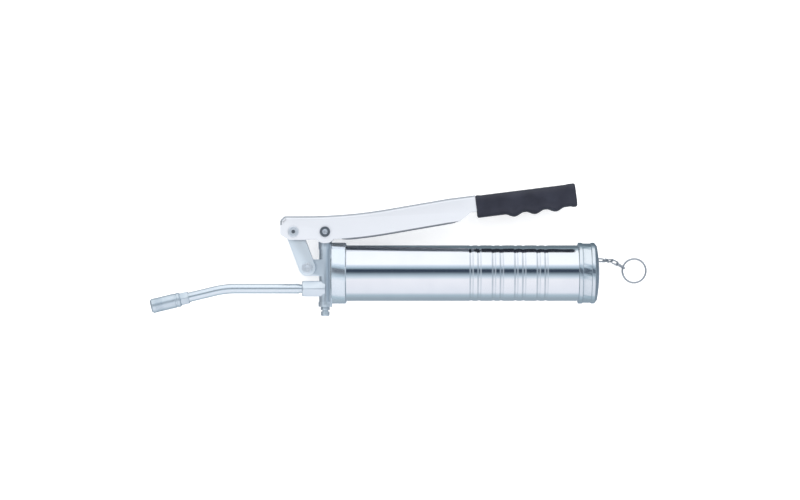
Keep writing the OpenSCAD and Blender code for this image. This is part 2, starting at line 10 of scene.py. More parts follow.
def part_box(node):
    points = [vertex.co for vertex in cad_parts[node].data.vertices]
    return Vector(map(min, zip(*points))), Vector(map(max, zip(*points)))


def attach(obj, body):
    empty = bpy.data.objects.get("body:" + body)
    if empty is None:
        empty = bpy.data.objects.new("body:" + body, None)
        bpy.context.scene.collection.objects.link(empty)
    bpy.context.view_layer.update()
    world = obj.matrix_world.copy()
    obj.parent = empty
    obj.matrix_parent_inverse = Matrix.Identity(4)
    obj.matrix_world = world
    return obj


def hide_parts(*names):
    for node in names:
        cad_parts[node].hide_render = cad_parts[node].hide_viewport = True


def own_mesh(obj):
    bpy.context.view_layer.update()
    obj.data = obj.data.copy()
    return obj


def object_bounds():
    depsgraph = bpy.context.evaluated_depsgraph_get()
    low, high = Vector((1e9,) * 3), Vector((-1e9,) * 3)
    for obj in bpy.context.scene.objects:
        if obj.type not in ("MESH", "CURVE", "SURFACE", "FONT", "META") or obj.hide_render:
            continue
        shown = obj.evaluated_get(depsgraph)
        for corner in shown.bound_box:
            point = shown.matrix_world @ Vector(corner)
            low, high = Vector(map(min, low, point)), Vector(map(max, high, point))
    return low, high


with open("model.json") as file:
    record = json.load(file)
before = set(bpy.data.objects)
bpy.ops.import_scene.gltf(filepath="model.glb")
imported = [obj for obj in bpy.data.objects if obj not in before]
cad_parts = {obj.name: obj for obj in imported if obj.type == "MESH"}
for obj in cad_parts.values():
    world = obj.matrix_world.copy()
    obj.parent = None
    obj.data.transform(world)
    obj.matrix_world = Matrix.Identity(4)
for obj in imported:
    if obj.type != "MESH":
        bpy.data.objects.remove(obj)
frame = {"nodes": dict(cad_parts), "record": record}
cad_low, cad_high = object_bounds()
scene = bpy.context.scene
MM = 0.001
PI = math.pi


# ---- sizes repeated from the CAD model, in mm ----

LUG_PIN = (-103.3, 5.5)
LEVER_PIN = (-117.412, 42.5)
PLUNGER_PIN = (-85.0, 42.5)
LINK_IN, LINK_OUT = 6.25, 8.65
LINK_W, LINK_LEN, LINK_LEAN = 17.0, 39.6, 20.88
LINK_WEB = (12.0, 30.0)
LEVER_W = 23.0
LEVER_H = 24.4
LEVER_FRONT = -131.0
LEVER_BASE = 58.4
NOSE_DROP, NOSE_CUT = 9.0, 4.4
RAMP_START, RAMP_END, RAMP_SLOPE = -105.0, -20.0, 0.172
KNEE_X, GRIP_X, GRIP_SLOPE = 42.0, 68.6, 0.125
HEEL_X, HEEL_RUN = 54.0, 11.0
TAIL_DROP, TAIL_H = 2.6, 14.0
EAR_R = 11.9
GRIP_LEN, GRIP_H, GRIP_W = 103.0, 23.4, 27.0
NECK_Y = -16.0
ELBOW_X = -188.0
BEND = 13.5
BEND_R = 90.0
TIP = 78.0
TUBE_END, TUBE_R, THREAD_R = -111.6, 5.0, 4.3
SLOT_END = (194.6, 13.4, 0.0)
INNER_LINKS = 28
TAUT, SLACK = 8.0, 7.7
LINK_REACH, LINK_BOW, LINK_WIRE = 9.56, 2.0, 0.7
DRAPE = ((-3, -29, 135), (-4.6, -65.5, 52), (-1.3, -79.1, 137),
         (-4.4, -49.6, 59), (-25.3, -28.6, 150), (-33.2, -4.7, 73))
FLOOR = -31.3
RING_R, RING_WIRE = 12.3, 0.9
RING_AT = (234.4, 2.2)
RING_TURN, RING_TILT = 163.93, 5.0


# ---- mesh helpers ----

def rad(angle):
    return math.radians(angle)


def make(name, points, faces, material, body, slot, replaces=(), sharp=35, place=None):
    """A mesh object from points in mm, riding on a body."""
    mesh = bpy.data.meshes.new(name)
    mesh.from_pydata([Vector(p) * MM for p in points], [], faces)
    if place is not None:
        shift = place.copy()
        shift.translation *= MM
        mesh.transform(shift)
    bm = bmesh.new()
    bm.from_mesh(mesh)
    bmesh.ops.remove_doubles(bm, verts=bm.verts, dist=1e-6)
    bmesh.ops.recalc_face_normals(bm, faces=bm.faces)
    bm.to_mesh(mesh)
    bm.free()
    mesh.polygons.foreach_set("use_smooth", [True] * len(mesh.polygons))
    mesh.set_sharp_from_angle(angle=rad(sharp))
    mesh.materials.append(material)
    obj = bpy.data.objects.new(name, mesh)
    scene.collection.objects.link(obj)
    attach(obj, body)
    if replaces:
        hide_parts(*replaces)
    return obj


def rounded(corners, steps=5):
    """A polyline with its corners rounded. Each corner is (u, v) or (u, v, radius)."""
    out = []
    n = len(corners)
    for i, c in enumerate(corners):
        r = c[2] if len(c) > 2 else 0
        p = Vector(c[:2])
        if r <= 0 or i in (0, n - 1):
            out.append(tuple(p))
            continue
        a, b = Vector(corners[i - 1][:2]) - p, Vector(corners[i + 1][:2]) - p
        turn = a.angle(b)
        cut = min(r / math.tan(turn / 2), 0.49 * a.length, 0.49 * b.length)
        r = cut * math.tan(turn / 2)
        centre = p + (a.normalized() + b.normalized()).normalized() * (r / math.sin(turn / 2))
        start, end = p + a.normalized() * cut - centre, p + b.normalized() * cut - centre
        sweep = start.angle_signed(end)
        for k in range(steps + 1):
            t = -sweep * k / steps
            out.append((centre.x + start.x * math.cos(t) - start.y * math.sin(t),
                        centre.y + start.x * math.sin(t) + start.y * math.cos(t)))
    return out


def lathe_mesh(profile, segments=96, closed=False):
    """Points and faces of a profile of (along, radius) turned about X."""
    points, rings, faces = [], [], []
    for u, r in profile:
        if r < 1e-5:
            rings.append([len(points)])
            points.append((u, 0, 0))
        else:
            rings.append(list(range(len(points), len(points) + segments)))
            points += [(u, r * math.cos(2 * PI * k / segments), r * math.sin(2 * PI * k / segments))
                       for k in range(segments)]
    pairs = list(zip(rings, rings[1:])) + ([(rings[-1], rings[0])] if closed else [])
    for a, b in pairs:
        for k in range(segments):
            m = (k + 1) % segments
            if len(a) == 1:
                faces.append((a[0], b[m], b[k]))
            elif len(b) == 1:
                faces.append((a[k], a[m], b[0]))
            else:
                faces.append((a[k], a[m], b[m], b[k]))
    return points, faces


def sweep_mesh(path, radius, sides=16, closed=False):
    """Points and faces of a round bar along a path of points in mm."""
    path = [Vector(p) for p in path]
    n = len(path)
    tangents = []
    for i in range(n):
        before = path[i - 1] if i or closed else path[0]
        after = path[(i + 1) % n] if i < n - 1 or closed else path[-1]
        tangents.append((after - before).normalized())
    up = tangents[0].orthogonal().normalized()
    points, faces = [], []
    first_up = up.copy()
    ups = []
    for i in range(n):
        if i:
            up = (up - tangents[i] * up.dot(tangents[i])).normalized()
        ups.append(up.copy())
    drift = 0.0
    if closed:
        back = (up - tangents[0] * up.dot(tangents[0])).normalized()
        drift = math.atan2(back.cross(first_up).dot(tangents[0]), back.dot(first_up))
    for i in range(n):
        u = Matrix.Rotation(drift * i / n, 3, tangents[i]) @ ups[i]
        v = tangents[i].cross(u)
        r = radius(i / (n - 1)) if callable(radius) else radius
        points += [tuple(path[i] + r * (u * math.cos(2 * PI * k / sides) + v * math.sin(2 * PI * k / sides)))
                   for k in range(sides)]
    for i in range(n if closed else n - 1):
        j = (i + 1) % n
        for k in range(sides):
            m = (k + 1) % sides
            faces.append((i * sides + k, i * sides + m, j * sides + m, j * sides + k))
    if not closed:
        faces.append(tuple(range(sides - 1, -1, -1)))
        faces.append(tuple((n - 1) * sides + k for k in range(sides)))
    return points, faces


def joined(parts):
    """Several (points, faces) as one."""
    points, faces = [], []
    for p, f in parts:
        base = len(points)
        points += [tuple(x) for x in p]
        faces += [tuple(i + base for i in face) for face in f]
    return points, faces


def moved(part, matrix):
    return [tuple(matrix @ Vector(p)) for p in part[0]], part[1]


def at(x, y, z=0.0):
    return Matrix.Translation((x, y, z))


UPRIGHT = Matrix.Rotation(-PI / 2, 4, "Y")      # brings the lathe's X axis to Z


# ---- materials ----

def new_material(name):
    mat = bpy.data.materials.new(name)
    mat.use_nodes = True
    tree = mat.node_tree
    tree.nodes.clear()
    out = tree.nodes.new("ShaderNodeOutputMaterial")
    shader = tree.nodes.new("ShaderNodeBsdfPrincipled")
    tree.links.new(shader.outputs[0], out.inputs[0])
    coords = tree.nodes.new("ShaderNodeTexCoord")
    return mat, tree, shader, coords


def noise_node(tree, coords, scale, detail=3.0, stretch=(1, 1, 1), rough=0.5):
    mapping = tree.nodes.new("ShaderNodeMapping")
    mapping.inputs["Scale"].default_value = stretch
    tree.links.new(coords.outputs["Object"], mapping.inputs[0])
    node = tree.nodes.new("ShaderNodeTexNoise")
    node.inputs["Scale"].default_value = scale
    node.inputs["Detail"].default_value = detail
    node.inputs["Roughness"].default_value = rough
    tree.links.new(mapping.outputs[0], node.inputs["Vector"])
    return node


def ramp_node(tree, source, stops):
    node = tree.nodes.new("ShaderNodeValToRGB")
    ramp = node.color_ramp
    while len(ramp.elements) < len(stops):
        ramp.elements.new(0.5)
    for element, (pos, colour) in zip(ramp.elements, stops):
        element.position = pos
        element.color = (*colour, 1) if len(colour) == 3 else colour
    tree.links.new(source, node.inputs[0])
    return node


def range_node(tree, source, low, high, from_low=0.3, from_high=0.7):
    node = tree.nodes.new("ShaderNodeMapRange")
    node.inputs["From Min"].default_value = from_low
    node.inputs["From Max"].default_value = from_high
    node.inputs["To Min"].default_value = low
    node.inputs["To Max"].default_value = high
    tree.links.new(source, node.inputs["Value"])
    return node


def mix_node(tree, factor, a, b, kind="MIX"):
    node = tree.nodes.new("ShaderNodeMix")
    node.data_type = "RGBA"
    node.blend_type = kind
    for socket, value in ((node.inputs["Factor"], factor), (node.inputs[6], a), (node.inputs[7], b)):
        if isinstance(value, (int, float)):
            socket.default_value = value
        elif isinstance(value, tuple):
            socket.default_value = (*value, 1)
        else:
            tree.links.new(value, socket)
    return node


def bump_node(tree, height, strength, distance, before=None):
    node = tree.nodes.new("ShaderNodeBump")
    node.inputs["Strength"].default_value = strength
    node.inputs["Distance"].default_value = distance
    tree.links.new(height, node.inputs["Height"])
    if before is not None:
        tree.links.new(before.outputs[0], node.inputs["Normal"])
    return node


def metal(name, base, worn, rough, metallic=1.0, lines=None, grain=0.0, spots=0.25, edge=True):
    """Plated metal: uneven tone, faint working lines, fine grain, and worn edges."""
    mat, tree, shader, coords = new_material(name)
    link = tree.links.new
    broad = noise_node(tree, coords, 38, 4)
    fine = noise_node(tree, coords, 420, 3, rough=0.6)
    tone = mix_node(tree, range_node(tree, broad.outputs["Fac"], 0, spots, 0.42, 0.72).outputs[0], base, worn)
    colour = tone.outputs[2]
    if edge:
        geometry = tree.nodes.new("ShaderNodeNewGeometry")
        rim = range_node(tree, geometry.outputs["Pointiness"], 0, 0.55, 0.53, 0.62)
        lighter = tuple(min(1.0, c * 1.12 + 0.03) for c in base)
        colour = mix_node(tree, rim.outputs[0], colour, lighter).outputs[2]
    link(colour, shader.inputs["Base Color"])
    shader.inputs["Metallic"].default_value = metallic
    blend = mix_node(tree, 0.4, fine.outputs["Fac"], broad.outputs["Fac"])
    link(range_node(tree, blend.outputs[2], rough * 0.94, rough * 1.08, 0.3, 0.7).outputs[0],
         shader.inputs["Roughness"])
    bump = None
    if lines:
        drawn = noise_node(tree, coords, lines[0], 2, lines[1])
        bump = bump_node(tree, drawn.outputs["Fac"], lines[2], 0.0002)
    if grain:
        cast = noise_node(tree, coords, 900, 4, rough=0.65)
        bump = bump_node(tree, cast.outputs["Fac"], grain, 0.0003, bump)
    if bump is not None:
        link(bump.outputs[0], shader.inputs["Normal"])
    return mat


def soft(name, base, worn, rough, grain=0.3, cells=1600, sheen=0.0):
    """Moulded rubber or vinyl: pebbled skin, dusty high spots."""
    mat, tree, shader, coords = new_material(name)
    link = tree.links.new
    broad = noise_node(tree, coords, 55, 4)
    fine = noise_node(tree, coords, cells, 3, rough=0.6)
    tone = mix_node(tree, range_node(tree, broad.outputs["Fac"], 0, 0.6, 0.35, 0.75).outputs[0], base, worn)
    geometry = tree.nodes.new("ShaderNodeNewGeometry")
    rim = range_node(tree, geometry.outputs["Pointiness"], 0, 0.5, 0.52, 0.6)
    colour = mix_node(tree, rim.outputs[0], tone.outputs[2], worn)
    link(colour.outputs[2], shader.inputs["Base Color"])
    link(range_node(tree, fine.outputs["Fac"], rough * 0.85, min(1, rough * 1.15)).outputs[0],
         shader.inputs["Roughness"])
    shader.inputs["Sheen Weight"].default_value = sheen
    cellular = tree.nodes.new("ShaderNodeTexVoronoi")
    cellular.inputs["Scale"].default_value = cells
    link(coords.outputs["Object"], cellular.inputs["Vector"])
    first = bump_node(tree, cellular.outputs["Distance"], grain, 0.00015)
    second = bump_node(tree, fine.outputs["Fac"], grain, 0.0002, first)
    link(second.outputs[0], shader.inputs["Normal"])
    return mat


ALONG_X = (0.02, 1, 1)
ALONG_Y = (1, 0.02, 1)
MAT = {     # base, worn, roughness, metallic
    "plated_barrel": metal("plated_barrel", (0.86, 0.89, 0.93), (0.74, 0.78, 0.84), 0.11,
                           lines=(1500, ALONG_X, 0.05), spots=0.3, edge=False),
    "cast_head": metal("cast_head", (0.76, 0.83, 0.89), (0.67, 0.74, 0.81), 0.32, 0.88,
                       grain=0.25, spots=0.4),
    "pressed_lever": metal("pressed_lever", (0.62, 0.64, 0.68), (0.58, 0.60, 0.64), 0.30, 0.2,
                           lines=(900, (0.05, 1, 1), 0.02), spots=0.35),
    "tube_steel": metal("tube_steel", (0.74, 0.81, 0.87), (0.64, 0.72, 0.79), 0.24, 0.85,
                        lines=(1500, ALONG_X, 0.02), spots=0.2, edge=False),
    "coupler_steel": metal("coupler_steel", (0.70, 0.78, 0.84), (0.56, 0.64, 0.71), 0.34, 0.85,
                           lines=(2400, (1, 0.05, 0.05), 0.06), spots=0.6),
    "pin_steel": metal("pin_steel", (0.70, 0.74, 0.80), (0.54, 0.58, 0.65), 0.28, 0.8,
                       lines=(2600, (1, 1, 0.05), 0.05)),
    "plunger_steel": metal("plunger_steel", (0.78, 0.80, 0.84), (0.66, 0.69, 0.73), 0.16,
                           lines=(2600, ALONG_Y, 0.05)),
    "spring_steel": metal("spring_steel", (0.30, 0.32, 0.35), (0.18, 0.18, 0.19), 0.33, spots=0.7, grain=0.1),
    "chain_steel": metal("chain_steel", (0.50, 0.53, 0.57), (0.38, 0.41, 0.45), 0.27, 0.85,
                         grain=0.08, spots=0.5),
    "black_rubber": soft("black_rubber", (0.018, 0.018, 0.02), (0.05, 0.05, 0.052), 0.6, 0.25),
    "grip_vinyl": soft("grip_vinyl", (0.010, 0.011, 0.022), (0.028, 0.031, 0.052), 0.52, 0.45, 1100, 0.05),
}


def turned_collar(mat, x, rough):
    """The collar behind x is turned and polished; the casting ahead of it isn't."""
    tree = mat.node_tree
    shader = next(n for n in tree.nodes if n.type == "BSDF_PRINCIPLED")
    coords = next(n for n in tree.nodes if n.type == "TEX_COORD")
    split = tree.nodes.new("ShaderNodeSeparateXYZ")
    tree.links.new(coords.outputs["Object"], split.inputs[0])
    polished = range_node(tree, split.outputs["X"], 0, 1, (x - 0.3) * MM, (x + 0.3) * MM)
    source = shader.inputs["Roughness"].links[0].from_socket
    blend = mix_node(tree, polished.outputs[0], source, (rough, rough, rough))
    tree.links.new(blend.outputs[2], shader.inputs["Roughness"])
    bump = shader.inputs["Normal"].links[0].from_node
    weaker = range_node(tree, polished.outputs[0], bump.inputs["Strength"].default_value, 0.03, 0, 1)
    tree.links.new(weaker.outputs[0], bump.inputs["Strength"])


COLLAR_FRONT, COLLAR_ROUGH = -79.2, 0.13        # the CAD's collar ends at -79.1
turned_collar(MAT["cast_head"], COLLAR_FRONT, COLLAR_ROUGH)

# The visible pieces that differ a little from their slot's main finish. The lever's darker bends and its dark
# hems are painted shade.
# Painted shade: a darker grey for the lever's bent edges, which draws the grey line that the rounded bend
# shows
bend_painted_shade = metal("lever_bend_painted_shade", (0.42, 0.45, 0.49), (0.36, 0.39, 0.43), 0.32, 0.6, spots=0.4)
# Painted shade: a near-black grey for the rolled hems, which draws the dark shadow line under the lever's
# lower edges
hem_painted_shade = metal("lever_hem_painted_shade", (0.24, 0.26, 0.29), (0.19, 0.21, 0.24), 0.4, 0.6, spots=0.4)
link_finish = metal("link_plate", (0.70, 0.77, 0.83), (0.62, 0.69, 0.76), 0.3, 0.6,
                    lines=(900, (1, 0.05, 1), 0.02), spots=0.4)
pale_pin = metal("pale_pin", (0.74, 0.79, 0.85), (0.66, 0.71, 0.78), 0.28, 0.7)
cap_finish = metal("plated_cap", (0.74, 0.80, 0.85), (0.64, 0.71, 0.77), 0.2,
                   lines=(1500, (1, 0.05, 0.05), 0.03), spots=0.3)
NODE_SLOT = {s["node"]: s["material_slot"] for s in frame["record"]["subparts"]}
for node, obj in frame["nodes"].items():
    obj.data.materials.clear()
    obj.data.materials.append(cap_finish if node == "rear_cap" else MAT[NODE_SLOT[node]])


def piece(name, part, body, nodes, sharp=35, place=None):
    """A visible piece with the main finish of the slot of the CAD node it replaces."""
    slot = NODE_SLOT[nodes[0]]
    return make(name, part[0], part[1], MAT[slot], body, slot, nodes, sharp, place)


# ---- barrel and rear cap ----

barrel_low, barrel_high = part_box("barrel")
BX0, BX1, BR = barrel_low.x / MM, barrel_high.x / MM, barrel_high.y / MM
WALL = 1.2
GROOVE_FIRST, GROOVE_PITCH, GROOVE_SPREAD = 68.8, 22.8, 4
GROOVE_HALF, GROOVE_DEPTH = 2.9, 0.42       # 0.02 mm deeper than in the CAD, with soft shoulders
groove_mid = [GROOVE_FIRST + i * GROOVE_PITCH + s * GROOVE_SPREAD for i in range(4) for s in (-1, 1)]


def groove_depth(x):
    """Depth of the rolled grooves, with a soft shoulder on each side."""
    depth = 0.0
    for g in groove_mid:
        d = abs(x - g)
        if d < GROOVE_HALF:
            depth = max(depth, GROOVE_DEPTH * 0.5 * (1 + math.cos(PI * d / GROOVE_HALF)))
    return depth


# Stations along the barrel, every quarter of a millimetre where the grooves are
stations = [BX0 + 0.5 + i * 2.5 for i in range(55)]
stations += [x / 4 for x in range(248, 600)]
stations = sorted(x for x in set(stations + [BX1 - 0.5 - i * 3 for i in range(12)]) if BX0 < x < BX1)
outer = [(x, BR - groove_depth(x)) for x in stations]
barrel_profile = ([(BX0, BR - WALL), (BX0, BR - 0.3), (BX0 + 0.3, BR)] + outer
                  + [(BX1 - 0.3, BR), (BX1, BR - 0.3), (BX1, BR - WALL)])
piece("barrel_tube", lathe_mesh(barrel_profile, 160, closed=True), "gun_body", ["barrel"], sharp=50)


# ---- delivery tube, coupler ----

def tube_path():
    run = BEND_R * math.tan(rad(BEND / 2))
    start = Vector((TUBE_END, NECK_Y, 0))
    bend_start = Vector((ELBOW_X + run, NECK_Y, 0))
    path = [start + (bend_start - start) * t / 20 for t in range(21)]
    centre = Vector((bend_start.x, NECK_Y - BEND_R, 0))
    for k in range(1, 25):
        a = rad(90 + BEND * k / 24)
        path.append(centre + BEND_R * Vector((math.cos(a), math.sin(a), 0)))
    way = Vector((-math.cos(rad(BEND)), -math.sin(rad(BEND)), 0))
    last = path[-1]
    length = TIP - run - 40
    path += [last + way * length * t / 8 for t in range(1, 9)]
    return path


route = tube_path()
tube = sweep_mesh(route, TUBE_R, 48)
thread_front = moved(lathe_mesh(rounded([(-10.6, 0), (-10.6, THREAD_R), (0, THREAD_R), (0, 0)]), 48),
                     at(-101, NECK_Y))
way = Vector((math.cos(rad(BEND)), math.sin(rad(BEND)), 0))
mouth = Vector((ELBOW_X, NECK_Y, 0)) - way * TIP
COUPLER = Matrix.Translation(mouth) @ Matrix.Rotation(rad(BEND), 4, "Z")
thread_rear = moved(lathe_mesh([(32, 0), (32, THREAD_R), (40.5, THREAD_R), (40.5, 0)], 48), COUPLER)
piece("delivery_pipe", joined([tube, thread_front, thread_rear]), "gun_body", ["delivery_tube"], sharp=40)


def ridged(u0, u1, count, r, depth):
    """A run of fine turned grooves on a lathe profile."""
    out = []
    pitch = (u1 - u0) / count
    for i in range(count):
        u = u0 + i * pitch
        out += [(u, r), (u + 0.30 * pitch, r), (u + 0.42 * pitch, r - depth),
                (u + 0.58 * pitch, r - depth), (u + 0.70 * pitch, r)]
    return out + [(u1, r)]


sleeve = ([(6.2, 6.4), (1.5, 5.0)]
          + rounded([(1.5, 5.0), (0.05, 5.1, 0.3), (0.0, 5.9, 0.3), (1.6, 7.4, 0.6), (4.4, 7.4)])
          + ridged(5.0, 12.8, 6, 7.4, 0.28)
          + rounded([(13.5, 7.4), (25.6, 7.4, 0.4), (26.0, 7.0, 0.3), (27.4, 7.0, 0.3), (27.8, 7.4, 0.4),
                     (30.2, 7.4, 0.4), (31.0, 6.7, 0.2), (31.0, 6.4)])
          + [(30.9, 6.4), (20, 6.4)])
piece("sleeve_shell", lathe_mesh(sleeve, 96, closed=True), "gun_body", ["coupler_sleeve"], 40, COUPLER)


# ---- pull ring and chains ----

def stadium(reach, bow, ends=14, sides=3):
    """Middle line of a chain link."""
    half = reach / 2 - bow
    path = []
    for k in range(ends + 1):
        a = rad(-90 + 180 * k / ends)
        path.append((half + bow * math.cos(a), bow * math.sin(a), 0))
    path += [(half - 2 * half * k / (sides + 1), bow, 0) for k in range(1, sides + 1)]
    for k in range(ends + 1):
        a = rad(90 + 180 * k / ends)
        path.append((-half + bow * math.cos(a), bow * math.sin(a), 0))
    path += [(-half + 2 * half * k / (sides + 1), -bow, 0) for k in range(1, sides + 1)]
    return path


LINK_PATH = stadium(LINK_REACH, LINK_BOW)
WELD_AT, WELD_HALF, WELD_RISE = 0.41, 0.035, 0.10       # place and half length are shares of the way round


def weld_bead(t):
    """Wire radius round a link, with a small weld swelling on one side."""
    d = abs(t - WELD_AT)
    bead = WELD_RISE * 0.5 * (1 + math.cos(PI * d / WELD_HALF)) if d < WELD_HALF else 0
    return LINK_WIRE * (1 + bead)


def laid_link(start, pitch, turn, dip, roll):
    """One chain link from its start, turned about Z, dipped, and rolled about its own length."""
    place = (Matrix.Translation(start)
             @ Matrix.Rotation(rad(turn), 4, "Z") @ Matrix.Rotation(rad(-dip), 4, "Y")
             @ at(pitch / 2, 0) @ Matrix.Rotation(rad(roll), 4, "X"))
    return moved(sweep_mesh(LINK_PATH, weld_bead, 12, closed=True), place)


def step(pitch, turn, dip):
    """The way from one link's start to the next one's."""
    t, d = rad(turn), rad(dip)
    return pitch * Vector((math.cos(d) * math.cos(t), math.cos(d) * math.sin(t), math.sin(d)))


inner_turn = math.degrees(math.asin(SLOT_END[1] / (INNER_LINKS * TAUT)))
parts = [laid_link(Vector(SLOT_END) - (i + 1) * step(TAUT, inner_turn, 0),
                   TAUT, inner_turn, 0, 45 + 90 * (i % 2))
         for i in range(INNER_LINKS)]
piece("chain_inside", joined(parts), "follower", ["inner_chain"], 180)
parts, here = [], Vector(SLOT_END)
for turn, dip, roll in DRAPE:
    parts.append(laid_link(here, SLACK, turn, dip, roll))
    here = here + step(SLACK, turn, dip)
piece("chain_outside", joined(parts), "chain", ["outer_chain"], 180)

ring_z = FLOOR + RING_WIRE + RING_R * math.sin(rad(RING_TILT))
ring_place = (Matrix.Translation((RING_AT[0], RING_AT[1], ring_z))
              @ Matrix.Rotation(rad(RING_TURN), 4, "Z") @ Matrix.Rotation(rad(-RING_TILT), 4, "Y"))
# Where the ring's wire ends meet, as a share of the turn, and the gap between them in degrees
SEAM, SEAM_GAP = 0.36, 0.7
circle = [(RING_R * math.cos(a), RING_R * math.sin(a), 0) for a in
          (rad(SEAM * 360 + SEAM_GAP / 2 + (360 - SEAM_GAP) * k / 120) for k in range(121))]
piece("ring_wire", sweep_mesh(circle, lambda t: RING_WIRE * min(1.0, 0.8 + 25 * min(t, 1 - t)), 18),
      "ring", ["pull_ring"], 60, ring_place)


# ---- springs ----

def coil_path(r, rise, turns, flat, steps):
    """A coil about X that lies flat for part of a turn at each end."""
    path, n = [], int(turns * steps)
    for i in range(n + 1):
        a = 2 * PI * i / steps
        t = i / n
        lead = min(max((t * turns - flat) / (turns - 2 * flat), 0), 1)
        path.append((rise * lead, r * math.cos(a), r * math.sin(a)))
    return path


spring_low, spring_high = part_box("follower_spring")
S0, S1, SR = spring_low.x / MM, spring_high.x / MM, spring_high.y / MM
SPRING_WIRE, SPRING_TURNS, FLAT_TURNS = 1.2, 13, 0.75
main_path = coil_path(SR - SPRING_WIRE, S1 - S0 - 2 * SPRING_WIRE, SPRING_TURNS, FLAT_TURNS, 40)
main_coil = moved(sweep_mesh(main_path, SPRING_WIRE, 12), at(S0 + SPRING_WIRE, 0))
coil = piece("main_spring", main_coil, "gun_body", ["follower_spring"], 60)
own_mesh(coil)


# ---- lever ----

LEVER_SKIN = 2.2        # the visible sheet, 0.2 mm thinner than in the CAD
LEVER_BEND = 3.6        # radius of the long bends


def lever_top(x):
    """Height of the lever's top edge."""
    if x < RAMP_START:
        return LEVER_BASE
    if x < RAMP_END:
        return LEVER_BASE + RAMP_SLOPE * (x - RAMP_START) ** 2 / (2 * (RAMP_END - RAMP_START))
    if x < KNEE_X:
        return lever_top(RAMP_END - 0.01) + RAMP_SLOPE * (x - RAMP_END)
    return lever_top(KNEE_X - 0.01) + GRIP_SLOPE * (x - KNEE_X)


def lever_chain():
    """The lever's outline: the edge that is bent round, then the free lower edge."""
    top = rounded([(LEVER_FRONT, LEVER_BASE - NOSE_DROP), (LEVER_FRONT, LEVER_BASE - NOSE_CUT, 2.5),
                   (LEVER_FRONT + NOSE_CUT, LEVER_BASE, 2.5), (RAMP_START, LEVER_BASE)], 4)
    top += [(x, lever_top(x)) for x in range(int(RAMP_START) + 4, 66, 4)]
    end_x = GRIP_X - 0.2
    top.append((end_x, lever_top(end_x)))
    heel_y = lever_top(HEEL_X) - LEVER_H
    tail_y = lever_top(HEEL_X + HEEL_RUN) - TAIL_DROP - TAIL_H
    foot_x = end_x + (lever_top(end_x) - tail_y) * GRIP_SLOPE
    low = rounded([(end_x, lever_top(end_x)), (foot_x, tail_y, 1.0),
                   (HEEL_X + HEEL_RUN, tail_y, 2.0), (HEEL_X, heel_y, 3.0),
                   (HEEL_X - 14, lever_top(HEEL_X - 14) - LEVER_H)], 4)[1:]
    low += [(x, lever_top(x) - LEVER_H) for x in range(36, -74, -4)]
    ear = []
    for k in range(13):
        a = rad(-42 - 96 * k / 12)
        ear.append((PLUNGER_PIN[0] + EAR_R * math.cos(a), PLUNGER_PIN[1] + EAR_R * math.sin(a)))
    low = [p for p in low if p[0] > -75] + ear
    low += [(-100, LEVER_BASE - LEVER_H + 0.3), (-110, LEVER_BASE - LEVER_H)]
    low += rounded([(-112, LEVER_BASE - LEVER_H), (LEVER_FRONT + 9, LEVER_BASE - LEVER_H, 3.0),
                    (LEVER_FRONT, LEVER_BASE - LEVER_H + 5.5, 3.0),
                    (LEVER_FRONT, LEVER_BASE - NOSE_DROP)], 4)[1:]
    return top, low


def pressed_shell(top, low, half, bend, arc=6):
    """Outer skin of a channel: two side walls, a web, and a rounded bend between them."""
    n = len(top)
    normals = []
    for i in range(n):
        a, b = Vector(top[max(i - 1, 0)]), Vector(top[min(i + 1, n - 1)])
        d = (b - a).normalized()
        normals.append(Vector((-d.y, d.x)))
    points, faces = [], []
    rows = []
    for side in (1, -1):
        grid = []
        for k in range(arc + 1):
            a = PI / 2 * k / arc
            row = []
            for i in range(n):
                inset = bend * (1 - math.sin(a))
                p = Vector(top[i]) - normals[i] * inset
                row.append(len(points))
                points.append((p.x, p.y, side * (half - bend + bend * math.cos(a))))
            grid.append(row)
        for k in range(arc):
            for i in range(n - 1):
                face = (grid[k][i], grid[k][i + 1], grid[k + 1][i + 1], grid[k + 1][i])
                faces.append(face if side > 0 else face[::-1])
        edge = []
        for p in low:
            edge.append(len(points))
            points.append((p[0], p[1], side * half))
        wall = tuple(grid[0]) + tuple(edge)
        faces.append(wall if side < 0 else wall[::-1])
        rows.append(grid[-1])
    for i in range(n - 1):
        faces.append((rows[0][i], rows[0][i + 1], rows[1][i + 1], rows[1][i]))
    return points, faces


top_edge, low_edge = lever_chain()
lever_part = pressed_shell(top_edge, low_edge, LEVER_W / 2, LEVER_BEND)
lever = piece("lever_channel", lever_part, "lever", ["lever"], 40)
thick = lever.modifiers.new("sheet", "SOLIDIFY")
thick.thickness = LEVER_SKIN * MM
thick.offset = -1
flat = lever.modifiers.new("flat_walls", "WEIGHTED_NORMAL")
flat.keep_sharp = True
# The bend faces take the darker grey: painted shade along the bent top edges
lever.data.materials.append(bend_painted_shade)
for face in lever.data.polygons:
    if 0.05 < abs(face.normal.z) < 0.85:
        face.material_index = 1


HEM_R = 1.8
hem_line = [(x, lever_top(x) - LEVER_H + 0.1) for x in range(-68, 42, 5)]
hem_line += [(HEEL_X - 8, lever_top(HEEL_X - 8) - LEVER_H + 0.1),
             (HEEL_X - 2, lever_top(HEEL_X - 2) - LEVER_H + 0.7)]


def hem_radius(t):
    """The rolled hem runs out at both ends."""
    return HEM_R * min(1.0, 0.45 + 9 * min(t, 1 - t))


hem_z = LEVER_W / 2 - HEM_R - 0.02
hems = [sweep_mesh([(x, y, side * hem_z) for x, y in hem_line], hem_radius, 20) for side in (1, -1)]
# The hems' dark colour is painted shade: a dark strip along the lower edges, where there is only shadow
make("lever_hems", *joined(hems), hem_painted_shade, "lever", "pressed_lever", sharp=60)


# ---- link ----

